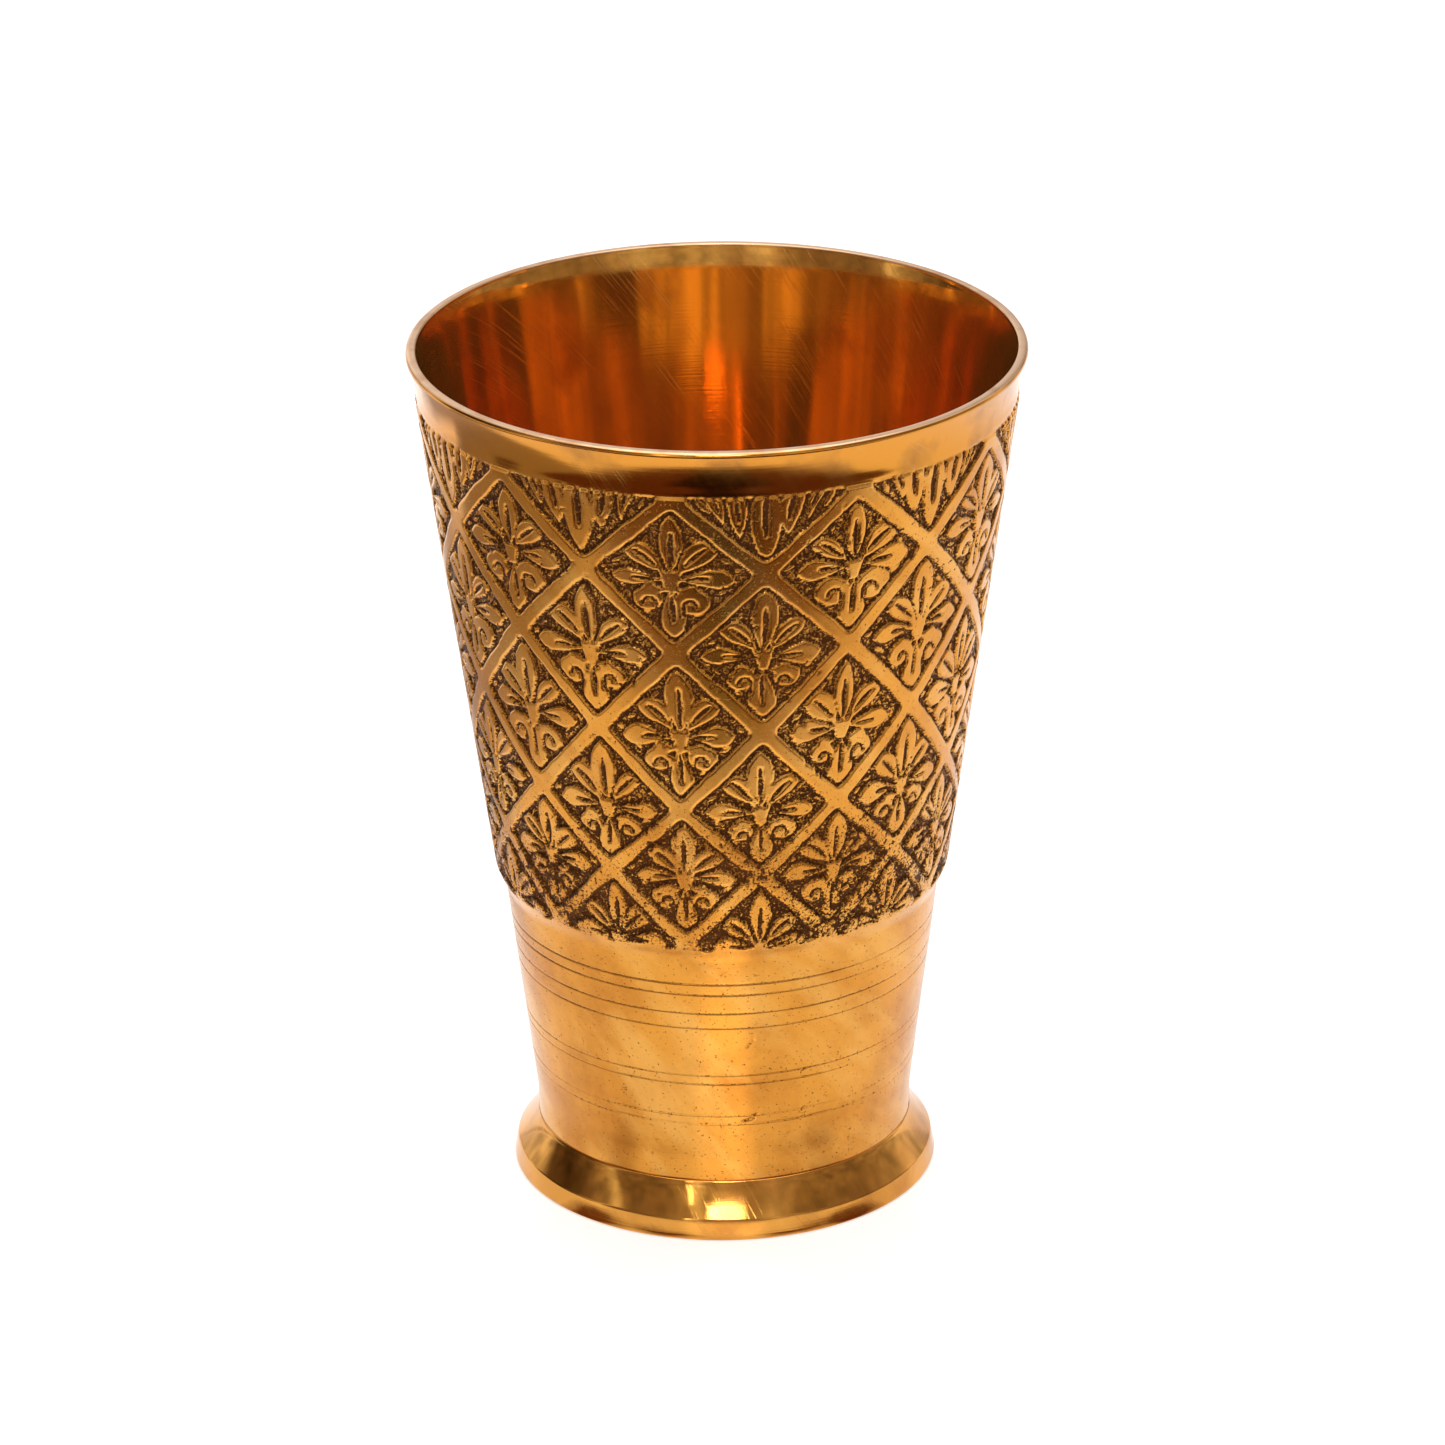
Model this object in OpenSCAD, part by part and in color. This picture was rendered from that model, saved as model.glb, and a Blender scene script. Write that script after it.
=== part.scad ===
// Footed brass tumbler with an embossed band. Millimetres, +Z up.
// The origin is the centre of the face that the foot rests on.

/* [Overall] */
// Height from the rest face to the top of the lip
total_h = 122; // [118:0.5:135]
// Outer diameter of the lip
rim_d = 85; // [84:0.1:88]

/* [Lip and rim band] */
// Height of the plain band from the embossed band to the top of the lip
rim_band_h = 7; // [5:0.1:10]
// Amount that the plain band flares out at the lip, on the radius
rim_flare = 1.3; // [0.8:0.1:2]
// Thickness of the wall at the lip
lip_t = 1.4; // [1.2:0.1:2]
// Radius of the lip's outer edge
lip_outer_round = 0.6; // [0.3:0.05:0.7]
// Radius of the lip's inner edge
lip_inner_round = 0.25; // [0.1:0.05:0.4]

/* [Embossed band] */
// Outer diameter over the raised pattern at the band's upper edge
band_top_d = 82.7; // [82:0.1:83]
// Outer diameter over the raised pattern at the band's lower edge
band_bottom_d = 63.7; // [63:0.1:65]
// Thickness of the wall at the band's upper edge
band_wall = 1.9; // [1.5:0.1:2.5]

/* [Shoulder and collar] */
// Height of the shoulder's lower edge above the rest face
shoulder_z = 42.8; // [40:0.1:45]
// Height of the rounded shoulder, from the collar to the embossed band
shoulder_h = 4; // [3:0.1:6]
// Outer diameter of the collar just under the shoulder
collar_top_d = 60.7; // [60:0.1:61.5]
// Outer diameter of the collar's straight lower end
collar_bottom_d = 52.8; // [52.4:0.1:53.2]
// Height of the collar's straight lower end above the crease
collar_straight_h = 3.4; // [1:0.1:6]
// Thickness of the collar's wall
collar_wall = 1.6; // [1.4:0.1:1.8]

/* [Turned lines] */
// Height of the middle of each pair of fine turned lines
pair_z = [17.3, 23.9, 33.5, 38.5]; // [13:0.1:40]
// Distance between the two lines of each pair
pair_gap = [1.4, 1.4, 2.4, 1.7]; // [1:0.1:2.5]
// Width of one turned line
line_w = 0.3; // [0.2:0.05:0.5]
// Depth of one turned line
line_depth = 0.15; // [0.05:0.05:0.3]

/* [Foot ring] */
// Outer diameter of the foot ring at its widest
foot_d = 59.8; // [59.4:0.1:61]
// Radius of the foot ring's lower outer edge
foot_edge_round = 0.5; // [0.2:0.05:0.7]
// Height of the turned ridge on the foot ring
ridge_z = 3; // [2:0.1:4]
// Outer diameter at the ridge
ridge_d = 58.8; // [58:0.1:59.2]
// Height of the crease where the foot ring meets the collar
crease_z = 7.6; // [7:0.1:9]
// Inner diameter of the rest face
rest_inner_d = 56.4; // [55:0.1:56.8]

/* [Spigot and floor] */
// Diameter of the collar's spigot and of the foot ring's bore
spigot_d = 51.8; // [51.4:0.1:52]
// Height of the spigot's lower end above the rest face
spigot_z = 4.4; // [4.2:0.1:4.8]
// Diameter of the floor disc and of its seat in the spigot
floor_d = 49.8; // [49.4:0.1:50]
// Thickness of the floor disc
floor_t = 1.6; // [1:0.1:2]
// Height of the floor disc's underside above the rest face
floor_z = 7.2; // [7:0.1:7.6]
// Inner diameter of the cup just above the floor disc
cup_bottom_d = 48.4; // [47.5:0.1:49]

/* [Brazing] */
// Leg of the filler fillet between the spigot and the foot ring
foot_braze_leg = 0.9; // [0.5:0.1:1]
// Leg of the filler fillet under the floor disc
floor_braze_leg = 1.6; // [0.8:0.1:2]

/* [Hidden] */
$fn = 96;

brass = "goldenrod";
filler = "khaki";

curve_steps = 8;
arc_steps = 6;
overlap = 1;

rim_r = rim_d / 2;
waist_r = rim_r - rim_flare;
band_top_z = total_h - rim_band_h;
band_bottom_z = shoulder_z + shoulder_h;
flare_top_z = total_h - lip_outer_round;
straight_top_z = crease_z + collar_straight_h;
floor_top_z = floor_z + floor_t;
cup_bottom_r = cup_bottom_d / 2;
floor_r = floor_d / 2;
spigot_r = spigot_d / 2;
collar_bottom_r = collar_bottom_d / 2;
collar_top_r = collar_top_d / 2;
foot_r = foot_d / 2;
ridge_r = ridge_d / 2;
bore_bottom_z = spigot_z - foot_braze_leg;
foot_flare_power = 1.3;

// Value between a and b, at share t of the way
function mix(a, b, t) = a + (b - a) * t;
// Share of the way, eased at both ends
function eased(t) = t * t * (3 - 2 * t);
// Radius of a straight cone through (z0, r0) and (z1, r1), at height z
function cone_r(z, z0, r0, z1, r1) = mix(r0, r1, (z - z0) / (z1 - z0));
// Outer radius of the collar's cone, and of the embossed band's cone
function collar_r(z) = cone_r(z, straight_top_z, collar_bottom_r, shoulder_z, collar_top_r);
function band_r(z) = cone_r(z, band_bottom_z, band_bottom_d / 2, band_top_z, band_top_d / 2);
// Outer radius of the shoulder, which eases from the collar's cone to the band's
function shoulder_r(z) = mix(collar_r(z), band_r(z), eased((z - shoulder_z) / shoulder_h));
// Points [radius, height] of an arc about a centre, from one angle to another
function arc(centre, r, from, to) =
    [for (i = [0 : arc_steps])
        let (a = mix(from, to, i / arc_steps))
        [centre[0] + r * cos(a), centre[1] + r * sin(a)]];

shoulder_outline = [
    for (i = [0 : curve_steps])
        let (z = shoulder_z + shoulder_h * i / curve_steps)
        [shoulder_r(z), z]
];
rim_outline = [
    for (i = [0 : curve_steps])
        let (t = i / curve_steps)
        [waist_r + rim_flare * t * t, mix(band_top_z, flare_top_z, t)]
];
lip_outline = concat(
    arc([rim_r - lip_outer_round, total_h - lip_outer_round], lip_outer_round, 15, 90),
    arc([rim_r - lip_t + lip_inner_round, total_h - lip_inner_round], lip_inner_round, 90, 180)
);
cup_outline = [
    [band_top_d / 2 - band_wall, band_top_z],
    [collar_top_r - collar_wall, shoulder_z],
    [cup_bottom_r, floor_top_z],
    [floor_r, floor_top_z],
    [floor_r, spigot_z]
];
foot_outline = concat(
    [
        for (i = [0 : curve_steps])
            let (t = i / curve_steps)
            [
                mix(collar_bottom_r, ridge_r, pow(t, foot_flare_power)),
                mix(crease_z, ridge_z, t)
            ]
    ],
    arc([foot_r - foot_edge_round, foot_edge_round], foot_edge_round, 0, -90)
);

// One fine V-shaped line turned into the collar, as a ring to cut away
module turned_line(z) {
    rotate_extrude()
        translate([collar_r(z), z])
            polygon([
                [-line_depth, 0],
                [0, -line_w / 2],
                [overlap, -line_w / 2],
                [overlap, line_w / 2],
                [0, line_w / 2]
            ]);
}

// Triangular fillet of filler, turned about the axis
module fillet_ring(corner, leg) {
    rotate_extrude()
        polygon([corner, corner - [leg, 0], corner - [0, leg]]);
}

// Cast and turned wall: lip, rim band, embossed band, shoulder, collar and spigot
module body() {
    color(brass)
        difference() {
            rotate_extrude()
                polygon(concat(
                    [
                        [spigot_r, spigot_z],
                        [spigot_r, crease_z],
                        [collar_bottom_r, crease_z],
                        [collar_bottom_r, straight_top_z]
                    ],
                    shoulder_outline,
                    [[band_top_d / 2, band_top_z]],
                    rim_outline,
                    lip_outline,
                    cup_outline
                ));
            for (i = [0 : len(pair_z) - 1], side = [-1, 1])
                turned_line(pair_z[i] + side * pair_gap[i] / 2);
        }
}

// Flared ring that the tumbler stands on, with a bore for the spigot
module foot_ring() {
    color(brass)
        rotate_extrude()
            polygon(concat(
                foot_outline,
                [
                    [rest_inner_d / 2, 0],
                    [spigot_r, bore_bottom_z],
                    [spigot_r, crease_z]
                ]
            ));
}

// Bottom of the cup, seated in the spigot from below
module floor_disc() {
    color(brass)
        translate([0, 0, floor_z])
            cylinder(h = floor_t, r = floor_r);
}

// Filler between the spigot's lower end and the foot ring's bore
module foot_braze() {
    color(filler)
        fillet_ring([spigot_r, spigot_z], foot_braze_leg);
}

// Filler between the floor disc's underside and the spigot's inside
module floor_braze() {
    color(filler)
        fillet_ring([floor_r, floor_z], floor_braze_leg);
}

body();
foot_ring();
floor_disc();
foot_braze();
floor_braze();
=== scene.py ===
"""Looks of a footed brass tumbler: a cast, chased and turned wall on a polished foot ring.

Lengths in the dataclass fields are millimetres, and angles are degrees, measured round the tumbler
from its front (-Y) towards its right (+X). Meshes are made in metres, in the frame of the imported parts.
"""

import logging
import math
from dataclasses import dataclass, field, replace
from enum import Enum

import bmesh
import bpy
import numpy as np
from mathutils import Matrix, Vector


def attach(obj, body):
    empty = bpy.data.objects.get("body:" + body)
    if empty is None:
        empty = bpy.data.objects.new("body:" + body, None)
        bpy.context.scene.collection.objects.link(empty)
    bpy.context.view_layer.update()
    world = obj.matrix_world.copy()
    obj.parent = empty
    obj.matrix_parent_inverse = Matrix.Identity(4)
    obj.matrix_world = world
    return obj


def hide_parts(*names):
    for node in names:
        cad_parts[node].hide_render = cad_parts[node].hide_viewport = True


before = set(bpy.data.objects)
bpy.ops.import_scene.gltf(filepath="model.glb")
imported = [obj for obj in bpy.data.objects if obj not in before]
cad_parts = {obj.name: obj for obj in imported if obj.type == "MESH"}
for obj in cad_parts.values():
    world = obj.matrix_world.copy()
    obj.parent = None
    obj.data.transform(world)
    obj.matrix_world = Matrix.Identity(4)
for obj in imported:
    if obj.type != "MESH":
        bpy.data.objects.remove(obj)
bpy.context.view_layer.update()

LOG = logging.getLogger("tumbler")
MM = 0.001
BODY = "root"
FULL_TURN = 360
QUARTER_TURN = 0.25  # in whole turns, as a shader's Anisotropic Rotation has it
OUTSIDE = -9.0  # value of a stroke's field, in millimetres, where there is no stroke
WHITE = "#FFFFFF"


class Zone(Enum):
    """Which surface of the wall a ring of points lies on. The value is its material's index."""

    CHASED = 0
    RIM = 1
    CUP = 2
    LIP = 3


# ---------------------------------------------------------------------------------------------
# Small helpers
# ---------------------------------------------------------------------------------------------


def linear(hex_colour: str) -> tuple[float, float, float, float]:
    """Turns an sRGB colour into the linear RGBA that shaders use.

    Args:
        hex_colour: six hex digits after a hash, such as "#E0A040".

    Returns:
        Linear red, green and blue, and an alpha of 1.
    """
    parts = [int(hex_colour[i : i + 2], 16) / 255 for i in (1, 3, 5)]
    toe, slope, offset, power = 0.04045, 12.92, 0.055, 2.4
    red, green, blue = (
        p / slope if p <= toe else ((p + offset) / (1 + offset)) ** power for p in parts
    )
    return red, green, blue, 1.0


def eased(t: np.ndarray) -> np.ndarray:
    """Share of the way from 0 to 1, clipped and eased at both ends."""
    t = np.clip(t, 0.0, 1.0)
    return t * t * (3.0 - 2.0 * t)


def rise(value: np.ndarray, low: float, high: float) -> np.ndarray:
    """Eased share of the way that value has gone from low to high."""
    return eased((value - low) / (high - low))


def fall(value: np.ndarray, low: float, high: float) -> np.ndarray:
    """Eased share of the way that value still has to go to high: 1 up to low, and 0 past high."""
    return rise(-value, -high, -low)


def smooth_min(a: np.ndarray, b: np.ndarray, width: float) -> np.ndarray:
    """Smaller of two fields, rounded over where they meet.

    Args:
        a: first field, in millimetres.
        b: second field.
        width: how far apart the two may be and still be blended.

    Returns:
        The blended field.
    """
    share = np.clip(0.5 + 0.5 * (b - a) / width, 0.0, 1.0)
    return b + (a - b) * share - width * share * (1.0 - share)


def column_angles(count: int) -> np.ndarray:
    """Angles of evenly spaced columns round the tumbler, from its back by its left."""
    return np.arange(count) * FULL_TURN / count - FULL_TURN / 2


@dataclass(frozen=True)
class Unevenness:
    """Smooth random unevenness over a surface, which closes on itself round the tumbler."""

    cell_height: float
    cells: int
    amount: float = 1.0

    def over(self, rng: np.random.Generator, up: np.ndarray, angles: np.ndarray) -> np.ndarray:
        """Draws it.

        Args:
            rng: seeded source of random numbers.
            up: each row's distance from the first, in millimetres.
            angles: each column's angle, evenly spaced over one whole turn.

        Returns:
            Values up to the amount either way, one row for each distance and one column for each angle.
        """
        up = up / self.cell_height
        around = (angles - angles[0]) / FULL_TURN * self.cells
        knots = rng.uniform(-1.0, 1.0, (int(up.max()) + 2, self.cells))
        row, column = up.astype(int), around.astype(int) % self.cells
        after = (column + 1) % self.cells
        v, u = eased(up - row)[:, None], eased(around - np.floor(around))[None, :]
        lower = knots[row][:, column] * (1 - u) + knots[row][:, after] * u
        upper = knots[row + 1][:, column] * (1 - u) + knots[row + 1][:, after] * u
        return (lower * (1 - v) + upper * v) * self.amount


def add_node(
    tree: bpy.types.NodeTree, kind: str, inputs: dict | None = None, **settings: object
) -> bpy.types.Node:
    """Adds a shader node.

    Args:
        tree: the node tree that gets it.
        kind: the node's Blender class, after "ShaderNode".
        inputs: what goes into each input, by name or number: another node's socket, or a value.
        settings: the node's own properties.

    Returns:
        The node.
    """
    node = tree.nodes.new("ShaderNode" + kind)
    for name, value in settings.items():
        setattr(node, name, value)
    for name, value in (inputs or {}).items():
        if isinstance(value, bpy.types.NodeSocket):
            tree.links.new(value, node.inputs[name])
        else:
            node.inputs[name].default_value = value
    return node


def new_material(name: str) -> tuple[bpy.types.Material, bpy.types.NodeTree]:
    """Makes a material with an empty node tree, and returns both."""
    material = bpy.data.materials.new(name)
    material.use_nodes = True
    material.node_tree.nodes.clear()
    return material, material.node_tree


# ---------------------------------------------------------------------------------------------
# Finishes
# ---------------------------------------------------------------------------------------------


@dataclass(frozen=True)
class Grain:
    """A cloudy pattern: the size of its largest lumps in millimetres, and how it breaks up finer."""

    size: float
    detail: float = 2.0
    roughness: float = 0.5

    def at(self, place: bpy.types.NodeSocket) -> dict:
        """Inputs of the pattern's node, at a place in metres."""
        scale = 1 / (self.size * MM)
        return {"Vector": place, "Scale": scale, "Detail": self.detail, "Roughness": self.roughness}


@dataclass(frozen=True)
class Span:
    """A stretch of a pattern's values, and what its two ends are turned into."""

    low: float
    high: float
    first: float = 0.0
    last: float = 1.0

    def of(self, value: bpy.types.NodeSocket) -> dict:
        """Inputs of the node that turns the pattern's value into the span's."""
        ends = {"From Min": self.low, "From Max": self.high, "To Min": self.first, "To Max": self.last}
        return {"Value": value, **ends}


@dataclass(frozen=True)
class Relief:
    """How strongly fine relief bends the light, and how high it stands in millimetres."""

    strength: float
    height: float

    def of(self, height: bpy.types.NodeSocket) -> dict:
        """Inputs of the relief's node, for a pattern of heights from 0 to 1."""
        return {"Height": height, "Strength": self.strength, "Distance": self.height * MM}


@dataclass(frozen=True)
class TurnedMarks:
    """Fine rings that a lathe tool or a buffing wheel leaves round a turned surface.

    They catch light up and down the wall, which draws each lamp out into a tall soft streak.
    """

    pitch: float = 0.35
    run: float = 40.0
    detail: float = 3.0
    roughness: float = 0.6

    def height(self, tree: bpy.types.NodeTree, place: bpy.types.NodeSocket) -> bpy.types.NodeSocket:
        """Adds the marks to a material.

        Args:
            tree: the material's node tree.
            place: object coordinates, in metres.

        Returns:
            Height of the marks, from 0 to 1.
        """
        along, across = 1 / (self.run * MM), 1 / (self.pitch * MM)
        squeezed = add_node(tree, "Mapping", {"Vector": place, "Scale": (along, along, across)})
        inputs = {
            "Vector": squeezed.outputs[0],
            "Scale": 1.0,
            "Detail": self.detail,
            "Roughness": self.roughness,
        }
        return add_node(tree, "TexNoise", inputs).outputs["Fac"]


@dataclass(frozen=True)
class Streaks:
    """Slanted streaks, as a cloth wipes them or grit scratches them: their length, width and slant."""

    length: float
    width: float
    slant: tuple[float, float, float]
    detail: float
    distortion: float = 0.0

    def height(self, tree: bpy.types.NodeTree, place: bpy.types.NodeSocket) -> bpy.types.NodeSocket:
        """Adds the streaks to a material. Its arguments and result are as for turned marks."""
        rotation = tuple(math.radians(angle) for angle in self.slant)
        size = (self.length * MM, self.length * MM, self.width * MM)
        slanted = add_node(
            tree, "Mapping", {"Vector": place, "Rotation": rotation, "Scale": size}, vector_type="TEXTURE"
        ).outputs[0]
        inputs = {"Vector": slanted, "Scale": 1.0, "Detail": self.detail, "Distortion": self.distortion}
        return add_node(tree, "TexNoise", inputs).outputs["Fac"]


@dataclass(frozen=True)
class ChasedBrass:
    """Cast brass, chased by hand, turned on a lathe and left with dark patina in its low places.

    The eye gets satin gold on every high face, with faint cloudy tarnish and small pits, and a rough
    brown-black ground that is stippled with bright specks where the punch marks' edges are rubbed.
    """

    name: str = "cast_brass_chased_and_turned"
    brass: str = "#D8943C"
    tarnish: str = "#B06C28"
    cloud: Grain = Grain(14.0, 5.0, 0.62)
    dull_cloud: Span = Span(0.44, 0.74, 0.0, 0.8)
    smear_light: str = "#E6AC58"
    smear: Streaks = Streaks(16.0, 4.5, (0.0, 52.0, 0.0), 4.0)
    smear_strength: Span = Span(0.47, 0.66, 0.0, 0.6)
    patina: str = "#3A2012"
    patina_light: str = "#764824"
    patina_roughness: float = 0.55
    stipple: Grain = Grain(0.34, 2.0, 0.6)
    speck_contrast: float = 2.7
    crusted: Span = Span(0.42, 0.72)
    pit_gap: float = 1.6
    pit: Span = Span(0.045, 0.09, 0.5, 0.0)
    roughness: Span = Span(0.3, 0.8, 0.17, 0.27)
    anisotropy: float = 0.75
    tool_marks: Relief = Relief(0.2, 0.02)
    punch_marks: Relief = Relief(0.6, 0.12)

    def build(self) -> bpy.types.Material:
        """Makes the material."""
        material, tree = new_material(self.name)
        place = add_node(tree, "TexCoord").outputs["Object"]
        low = add_node(tree, "Attribute", attribute_name="patina").outputs["Fac"]
        turned = add_node(tree, "Attribute", attribute_name="turned").outputs["Fac"]
        cloud = add_node(tree, "TexNoise", self.cloud.at(place)).outputs["Fac"]
        dull = add_node(tree, "MapRange", self.dull_cloud.of(cloud)).outputs[0]
        specks = add_node(tree, "TexNoise", self.stipple.at(place)).outputs["Fac"]
        centring = -0.5 * self.speck_contrast
        speckled = add_node(
            tree, "Math", {0: specks, 1: self.speck_contrast, 2: centring}, operation="MULTIPLY_ADD"
        ).outputs[0]
        unsettled = add_node(tree, "Math", {0: low, 1: speckled}, operation="ADD").outputs[0]
        dark = add_node(tree, "MapRange", self.crusted.of(unsettled)).outputs[0]
        smear = self.smear.height(tree, place)
        wiped = add_node(tree, "MapRange", self.smear_strength.of(smear)).outputs[0]
        pit_scale = 1 / (self.pit_gap * MM)
        pits = add_node(
            tree, "TexVoronoi", {"Vector": place, "Scale": pit_scale, "Randomness": 1.0}, feature="F1"
        ).outputs["Distance"]
        pitted = add_node(tree, "MapRange", self.pit.of(pits)).outputs[0]
        hidden = add_node(tree, "Math", {0: dark, 1: pitted}, operation="MAXIMUM").outputs[0]
        tarnished = add_node(
            tree, "Mix", {0: dull, 6: linear(self.brass), 7: linear(self.tarnish)}, data_type="RGBA"
        ).outputs[2]
        metal = add_node(
            tree, "Mix", {0: wiped, 6: tarnished, 7: linear(self.smear_light)}, data_type="RGBA"
        ).outputs[2]
        crust = add_node(
            tree, "Mix", {0: cloud, 6: linear(self.patina), 7: linear(self.patina_light)}, data_type="RGBA"
        ).outputs[2]
        colour = add_node(tree, "Mix", {0: hidden, 6: metal, 7: crust}, data_type="RGBA").outputs[2]
        rough_metal = add_node(tree, "MapRange", self.roughness.of(cloud)).outputs[0]
        rough = add_node(
            tree, "Mix", {0: hidden, 2: rough_metal, 3: self.patina_roughness}, data_type="FLOAT"
        ).outputs[0]
        round_it = add_node(tree, "Tangent", direction_type="RADIAL", axis="Z").outputs[0]
        marks = TurnedMarks().height(tree, place)
        mark_height = add_node(tree, "Math", {0: marks, 1: turned}, operation="MULTIPLY").outputs[0]
        brushed = add_node(tree, "Bump", self.tool_marks.of(mark_height)).outputs[0]
        punched = add_node(tree, "Math", {0: specks, 1: dark}, operation="MULTIPLY").outputs[0]
        bump = add_node(tree, "Bump", {**self.punch_marks.of(punched), "Normal": brushed}).outputs[0]
        inputs = {
            "Base Color": colour,
            "Metallic": 1.0,
            "Roughness": rough,
            "Normal": bump,
            "Anisotropic": self.anisotropy,
            "Anisotropic Rotation": QUARTER_TURN,
            "Tangent": round_it,
        }
        shader = add_node(tree, "BsdfPrincipled", inputs)
        add_node(tree, "OutputMaterial", {"Surface": shader.outputs[0]})
        return material


@dataclass(frozen=True)
class SpunBrass:
    """Brass that was turned and buffed bright, and then scratched by use and washing.

    The eye gets clear reflections, drawn out up and down by the buffing rings, under a net of fine
    scratches, with cloudy places that are a little duller.
    """

    name: str
    brass: str = "#D48F38"
    tarnish: str = "#BE7C30"
    anisotropy: float = 0.8
    roughness: float = 0.1
    dull_roughness: float = 0.2
    marks_strength: float = 0.3
    marks_depth: float = 0.02
    scratch: Streaks = Streaks(14.0, 0.16, (20.0, 52.0, 15.0), 2.0, 0.35)
    scratched: Span = Span(0.6, 0.68)
    worn_cloud: Span = Span(0.42, 0.62, 0.15, 1.0)
    scratch_relief: Relief = Relief(0.35, 0.01)
    hairline: str = "#F2CE9A"
    hairline_paleness: float = 0.2
    hairline_roughness: float = 0.24
    metallic: float = 1.0
    cloud: float = 9.0
    cloud_detail: float = 4.0
    dull_cloud: Span = Span(0.5, 0.75)

    def build(self) -> bpy.types.Material:
        """Makes the material."""
        material, tree = new_material(self.name)
        place = add_node(tree, "TexCoord").outputs["Object"]
        cloud = add_node(tree, "TexNoise", Grain(self.cloud, self.cloud_detail).at(place)).outputs["Fac"]
        dull = add_node(tree, "MapRange", self.dull_cloud.of(cloud)).outputs[0]
        stained = add_node(
            tree, "Mix", {0: dull, 6: linear(self.brass), 7: linear(self.tarnish)}, data_type="RGBA"
        ).outputs[2]
        buffed = add_node(
            tree, "MapRange", Span(0.0, 1.0, self.roughness, self.dull_roughness).of(dull)
        ).outputs[0]
        round_it = add_node(tree, "Tangent", direction_type="RADIAL", axis="Z").outputs[0]
        marks = TurnedMarks().height(tree, place)
        brushed = add_node(tree, "Bump", Relief(self.marks_strength, self.marks_depth).of(marks)).outputs[0]
        scratches = self.scratch.height(tree, place)
        hairlines = add_node(tree, "MapRange", self.scratched.of(scratches)).outputs[0]
        worn = add_node(tree, "MapRange", self.worn_cloud.of(cloud)).outputs[0]
        cut = add_node(tree, "Math", {0: hairlines, 1: worn}, operation="MULTIPLY").outputs[0]
        pale = add_node(tree, "Math", {0: cut, 1: self.hairline_paleness}, operation="MULTIPLY").outputs[0]
        colour = add_node(
            tree, "Mix", {0: pale, 6: stained, 7: linear(self.hairline)}, data_type="RGBA"
        ).outputs[2]
        rough = add_node(
            tree, "Mix", {0: cut, 2: buffed, 3: self.hairline_roughness}, data_type="FLOAT"
        ).outputs[0]
        bump = add_node(
            tree, "Bump", {**self.scratch_relief.of(cut), "Normal": brushed}, invert=True
        ).outputs[0]
        inputs = {
            "Base Color": colour,
            "Metallic": self.metallic,
            "Roughness": rough,
            "Normal": bump,
            "Anisotropic": self.anisotropy,
            "Anisotropic Rotation": QUARTER_TURN,
            "Tangent": round_it,
        }
        shader = add_node(tree, "BsdfPrincipled", inputs)
        add_node(tree, "OutputMaterial", {"Surface": shader.outputs[0]})
        return material


@dataclass(frozen=True)
class BrazingFiller:
    """Brass brazing filler as it ran and froze, paler than the brass beside it.

    The eye gets a lumpy, frosted bead with flux stain in its hollows.
    """

    name: str = "brazing_filler_as_run"
    filler: str = "#CDAA62"
    stain: str = "#5A3B1C"
    roughness: float = 0.42
    ripple: Grain = Grain(1.2, 4.0)
    stained: Span = Span(0.5, 0.3, 0.0, 0.8)
    lumps: Relief = Relief(0.6, 0.2)

    def build(self) -> bpy.types.Material:
        """Makes the material."""
        material, tree = new_material(self.name)
        place = add_node(tree, "TexCoord").outputs["Object"]
        ripple = add_node(tree, "TexNoise", self.ripple.at(place)).outputs["Fac"]
        stained = add_node(tree, "MapRange", self.stained.of(ripple)).outputs[0]
        colour = add_node(
            tree, "Mix", {0: stained, 6: linear(self.filler), 7: linear(self.stain)}, data_type="RGBA"
        ).outputs[2]
        bump = add_node(tree, "Bump", self.lumps.of(ripple)).outputs[0]
        inputs = {"Base Color": colour, "Metallic": 1.0, "Roughness": self.roughness, "Normal": bump}
        shader = add_node(tree, "BsdfPrincipled", inputs)
        add_node(tree, "OutputMaterial", {"Surface": shader.outputs[0]})
        return material


@dataclass(frozen=True)
class LitAcrylic:
    """White acrylic sheet, cast and lit softly from below, which keeps the floor pale and even."""

    name: str = "white_acrylic_sheet_cast"
    white: str = "#D2D2D2"
    roughness: float = 0.3
    glow: float = 0.52
    ripple: Grain = Grain(40.0, 1.0)
    ripple_relief: Relief = Relief(0.05, 0.1)

    def build(self) -> bpy.types.Material:
        """Makes the material."""
        material, tree = new_material(self.name)
        place = add_node(tree, "TexCoord").outputs["Object"]
        ripple = add_node(tree, "TexNoise", self.ripple.at(place)).outputs["Fac"]
        bump = add_node(tree, "Bump", self.ripple_relief.of(ripple)).outputs[0]
        inputs = {
            "Base Color": linear(self.white),
            "Roughness": self.roughness,
            "Normal": bump,
            "Emission Color": linear(WHITE),
            "Emission Strength": self.glow,
        }
        shader = add_node(tree, "BsdfPrincipled", inputs)
        add_node(tree, "OutputMaterial", {"Surface": shader.outputs[0]})
        return material


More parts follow.
